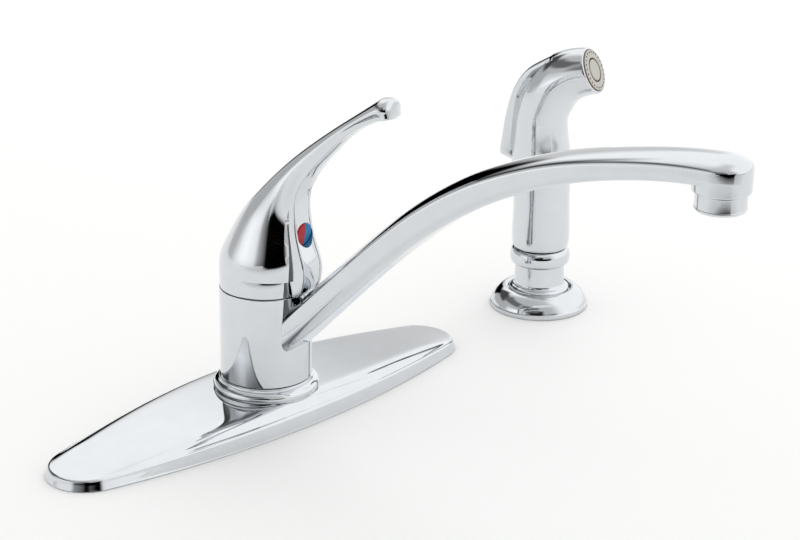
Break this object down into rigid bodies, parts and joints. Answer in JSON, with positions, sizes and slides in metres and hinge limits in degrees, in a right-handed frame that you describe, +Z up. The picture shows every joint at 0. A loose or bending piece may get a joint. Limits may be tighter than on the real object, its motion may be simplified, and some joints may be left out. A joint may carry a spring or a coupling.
{
  "type": "side spray kitchen faucet",
  "caption": "Lever-handled kitchen faucet on an oval deck plate with an arched swing spout, and a trigger hand spray standing in its own deck holder.",
  "frame": {"origin": "the mixer's swivel axis at the deck, on the flat underside of the valve body", "axes": "+X along the deck plate towards the hand spray, -Y to the front over the sink, +Z up"},
  "size_m": [0.3594, 0.2886, 0.1795],
  "materials": {
    "polished_chrome": "polished chrome plate",
    "raw_brass": "machined brass",
    "stainless_steel": "bare stainless steel",
    "black_rubber": "moulded black rubber",
    "white_acetal": "moulded white acetal",
    "grey_plastic": "moulded grey plastic",
    "white_ceramic": "lapped alumina ceramic",
    "index_button": "printed gloss plastic, red half and blue half",
    "spray_face_plastic": "moulded warm grey plastic"
  },
  "bodies": {
    "mixer_base": {"deck_plate": "polished_chrome", "deck_gasket": "black_rubber", "base_ring": "polished_chrome", "valve_body": "raw_brass", "body_oring_low": "black_rubber", "body_oring_high": "black_rubber", "swivel_washer": "white_acetal", "inlet_seal_hot": "black_rubber", "inlet_seal_cold": "black_rubber", "outlet_seal": "black_rubber", "cartridge_base": "white_acetal", "fixed_disc": "white_ceramic", "cartridge_housing": "white_acetal", "bonnet_nut": "raw_brass", "trim_cap": "polished_chrome", "diverter_body": "white_acetal", "spray_flange": "polished_chrome", "spray_gasket": "black_rubber", "spray_guide": "polished_chrome"},
    "swing_spout": {"spout": "polished_chrome", "aerator_shell": "polished_chrome", "aerator_insert": "grey_plastic", "aerator_screen": "stainless_steel", "aerator_washer": "black_rubber"},
    "cartridge_turn": {"cartridge_rotor": "grey_plastic", "lever_pin": "stainless_steel"},
    "lever": {"handle": "polished_chrome", "handle_screw": "stainless_steel", "index_button": "index_button", "lever_stem": "stainless_steel"},
    "disc_slider": {"moving_disc": "white_ceramic", "disc_carrier": "white_acetal"},
    "diverter": {"diverter_piston": "grey_plastic", "diverter_seal": "black_rubber"},
    "hose_end": {"hose_coupling": "raw_brass", "coupling_washer": "black_rubber"},
    "hand_spray": {"spray_body": "polished_chrome", "trigger_pin": "stainless_steel", "valve_guide": "raw_brass", "plunger_spring": "stainless_steel", "coupling_clip": "white_acetal", "nozzle_ring": "spray_face_plastic", "nozzle_insert": "spray_face_plastic"},
    "trigger": {"spray_trigger": "polished_chrome"},
    "spray_valve": {"valve_plunger": "stainless_steel", "valve_seal": "black_rubber"}
  },
  "joints": [
    {"name": "spout_swivel", "type": "hinge", "parent": "mixer_base", "child": "swing_spout", "pos_m": [0, 0, 0.042], "axis": [0, 0, 1], "range_deg": [-60, 60]},
    {"name": "handle_turn", "type": "hinge", "parent": "mixer_base", "child": "cartridge_turn", "pos_m": [0, 0, 0.067], "axis": [0, 0, 1], "range_deg": [-35, 35]},
    {"name": "handle_lift", "type": "hinge", "parent": "cartridge_turn", "child": "lever", "pos_m": [0, 0, 0.067], "axis": [-0.989, -0.1478, 0], "range_deg": [0, 22]},
    {"name": "disc_slide", "type": "slide", "parent": "cartridge_turn", "child": "disc_slider", "axis": [0.1478, -0.989, 0], "range_m": [0, 0.0038]},
    {"name": "diverter_slide", "type": "slide", "parent": "mixer_base", "child": "diverter", "axis": [-0.1478, 0.989, 0], "range_m": [0, 0.003]},
    {"name": "spray_lift", "type": "slide", "parent": "mixer_base", "child": "hose_end", "axis": [0, 0, 1], "range_m": [0, 0.08]},
    {"name": "spray_turn", "type": "hinge", "parent": "hose_end", "child": "hand_spray", "pos_m": [0.2032, 0, 0.042], "axis": [0, 0, 1], "continuous": true},
    {"name": "trigger_squeeze", "type": "hinge", "parent": "hand_spray", "child": "trigger", "pos_m": [0.2032, 0, 0.13], "axis": [-0.9455, -0.3256, 0], "range_deg": [0, 5], "stiffness_Nm_per_rad": 2, "springref_deg": -2.86},
    {"name": "valve_stroke", "type": "slide", "parent": "hand_spray", "child": "spray_valve", "axis": [0.3256, -0.9455, 0], "range_m": [0, 0.0027]}
  ],
  "couplings": [
    {"joint": "disc_slide", "follows": "handle_lift", "m_per_rad": 0.0091},
    {"joint": "valve_stroke", "follows": "trigger_squeeze", "m_per_rad": 0.026}
  ]
}
